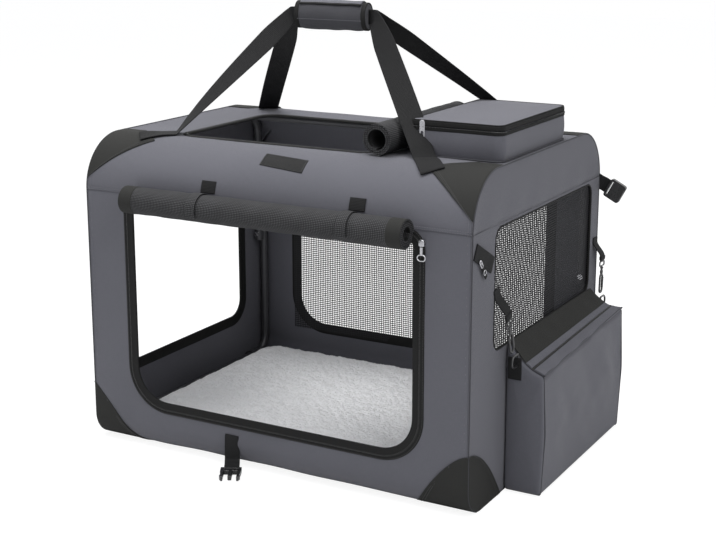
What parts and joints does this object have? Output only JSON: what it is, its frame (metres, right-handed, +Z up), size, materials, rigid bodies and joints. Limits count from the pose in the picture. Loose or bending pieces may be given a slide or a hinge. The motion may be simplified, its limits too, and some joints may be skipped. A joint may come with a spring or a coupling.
{
  "type": "soft folding dog crate",
  "caption": "Grey soft folding dog crate with rolled mesh doors, mesh windows, roof pocket, padded carry handle, fleece mat and a clip-on storage bag.",
  "frame": {"origin": "On the floor, under the middle of the cover", "axes": "+X runs along the crate to the end with the storage bag, the front door faces -Y, +Z is up"},
  "size_m": [0.8036, 0.5889, 0.7402],
  "materials": {
    "grey_cloth": "woven polyester",
    "black_cloth": "woven polyester",
    "webbing": "ribbed webbing",
    "mesh": "open knitted mesh",
    "fleece": "deep fleece",
    "tube": "satin paint",
    "bright_metal": "polished",
    "plastic": "smooth"
  },
  "bodies": {
    "base": {"floor_panel": "grey_cloth", "floor_rail_front": "tube", "floor_rail_back": "tube", "front_wall": "grey_cloth", "back_wall": "grey_cloth", "left_wall": "grey_cloth", "right_wall": "grey_cloth", "right_net": "mesh", "back_net": "mesh", "base_patch_front_left": "black_cloth", "base_patch_front_right": "black_cloth", "base_patch_back_left": "black_cloth", "base_patch_back_right": "black_cloth", "front_strap_tab": "webbing", "fleece_mat": "fleece", "front_closing_strap": "webbing"},
    "left_lower": {"left_lower_u": "tube", "knee_pin_front_left": "bright_metal", "knee_pin_back_left": "bright_metal"},
    "left_upper": {"left_upper_u": "tube"},
    "right_lower": {"right_lower_u": "tube", "knee_pin_front_right": "bright_metal", "knee_pin_back_right": "bright_metal"},
    "right_upper": {"right_upper_u": "tube"},
    "roof": {"roof_cover": "grey_cloth", "roof_rail_front": "tube", "roof_rail_back": "tube", "roof_patch_front_left": "black_cloth", "roof_patch_front_right": "black_cloth", "roof_patch_back_left": "black_cloth", "roof_patch_back_right": "black_cloth", "front_door_roll": "mesh", "left_door_roll": "mesh", "roof_door_roll": "mesh", "front_tie_left": "webbing", "front_tie_right": "webbing", "pocket_body": "grey_cloth", "handle_strap_front_left": "webbing", "handle_strap_front_right": "webbing", "handle_strap_back_left": "webbing", "handle_strap_back_right": "webbing", "front_zip_slider": "bright_metal", "back_closing_strap": "webbing"},
    "handle": {"handle_grip": "grey_cloth"},
    "pocket_lid": {"pocket_lid": "grey_cloth"},
    "pocket_pull": {"pocket_zip_pull": "bright_metal"},
    "front_pull": {"front_zip_pull": "bright_metal"},
    "side_straps": {"front_top_clip": "bright_metal", "front_clip_strap": "webbing", "front_strap_ring": "plastic", "rear_clip_strap": "webbing", "rear_strap_ring": "plastic"},
    "front_hook": {"front_snap_hook": "plastic"},
    "rear_hook": {"rear_snap_hook": "plastic"},
    "bag": {"bag_body": "grey_cloth", "front_d_ring": "plastic", "rear_d_ring": "plastic"},
    "bag_flap": {"bag_flap": "grey_cloth"},
    "male_buckle": {"male_buckle": "plastic"},
    "female_buckle": {"female_buckle": "plastic"}
  },
  "joints": [
    {"name": "fold", "type": "hinge", "parent": "base", "child": "left_lower", "pos_m": [-0.3352, 0, 0.0183], "axis": [0, 1, 0], "range_deg": [0, 78], "deforming": ["front_wall", "back_wall", "left_wall", "right_wall", "right_net", "back_net", "base_patch_front_left", "base_patch_front_right", "base_patch_back_left", "base_patch_back_right", "front_strap_tab", "roof_cover", "roof_patch_front_left", "roof_patch_front_right", "roof_patch_back_left", "roof_patch_back_right"]},
    {"name": "left_knee", "type": "hinge", "parent": "left_lower", "child": "left_upper", "pos_m": [-0.3352, 0, 0.26112], "axis": [0, 1, 0], "range_deg": [-157, 0]},
    {"name": "roof_level", "type": "hinge", "parent": "left_upper", "child": "roof", "pos_m": [-0.3352, 0, 0.50394], "axis": [0, 1, 0], "range_deg": [0, 78.5]},
    {"name": "right_fold", "type": "hinge", "parent": "base", "child": "right_lower", "pos_m": [0.3352, 0, 0.0183], "axis": [0, 1, 0], "range_deg": [-78.5, 0]},
    {"name": "right_knee", "type": "hinge", "parent": "right_lower", "child": "right_upper", "pos_m": [0.3352, 0, 0.26112], "axis": [0, 1, 0], "range_deg": [0, 157]},
    {"name": "side_strap_drop", "type": "slide", "parent": "base", "child": "side_straps", "axis": [0, 0, -1], "range_m": [0, 0.205]},
    {"name": "front_hook_swivel", "type": "hinge", "parent": "side_straps", "child": "front_hook", "pos_m": [0.366, -0.15654, 0.27689], "axis": [0, -0.279, 0.9603], "range_deg": [-90, 90]},
    {"name": "rear_hook_swivel", "type": "hinge", "parent": "side_straps", "child": "rear_hook", "pos_m": [0.366, 0.2459, 0.27887], "axis": [0, 0.0523, 0.9986], "range_deg": [-90, 90]},
    {"name": "handle_drop", "type": "slide", "parent": "roof", "child": "handle", "axis": [0, 0, -1], "range_m": [0, 0.165], "deforming": ["handle_strap_front_left", "handle_strap_front_right", "handle_strap_back_left", "handle_strap_back_right"]},
    {"name": "pocket_lid_hinge", "type": "hinge", "parent": "roof", "child": "pocket_lid", "pos_m": [0.3435, 0, 0.5716], "axis": [0, 1, 0], "range_deg": [0, 110]},
    {"name": "pocket_pull_swing", "type": "hinge", "parent": "pocket_lid", "child": "pocket_pull", "pos_m": [0.211, -0.14635, 0.5716], "axis": [0, 1, 0], "range_deg": [-60, 60]},
    {"name": "front_pull_swing", "type": "hinge", "parent": "roof", "child": "front_pull", "pos_m": [0.271, -0.26635, 0.416], "axis": [0, 1, 0], "range_deg": [-50, 50]},
    {"name": "bag_detach", "type": "slide", "parent": "base", "child": "bag", "axis": [1, 0, 0], "range_m": [0, 0.1]},
    {"name": "bag_flap_hinge", "type": "hinge", "parent": "bag", "child": "bag_flap", "pos_m": [0.41261, 0, 0.19601], "axis": [0, 1, 0], "range_deg": [0, 150]},
    {"name": "front_buckle_swing", "type": "hinge", "parent": "base", "child": "male_buckle", "pos_m": [-0.06016, -0.27886, 0.0055], "axis": [0.8746, 0.4848, 0], "range_deg": [-80, 0], "deforming": ["front_closing_strap"]},
    {"name": "back_buckle_swing", "type": "hinge", "parent": "roof", "child": "female_buckle", "pos_m": [0.36475, 0.2643, 0.41778], "axis": [0.4695, 0, 0.8829], "range_deg": [0, 80], "deforming": ["back_closing_strap"]}
  ],
  "couplings": [
    {"joint": "left_knee", "follows": "fold", "ratio": -2},
    {"joint": "roof_level", "follows": "fold", "ratio": 1},
    {"joint": "right_fold", "follows": "fold", "ratio": -1},
    {"joint": "right_knee", "follows": "fold", "ratio": 2},
    {"joint": "side_strap_drop", "follows": "fold", "m_per_rad": 0.14963}
  ]
}
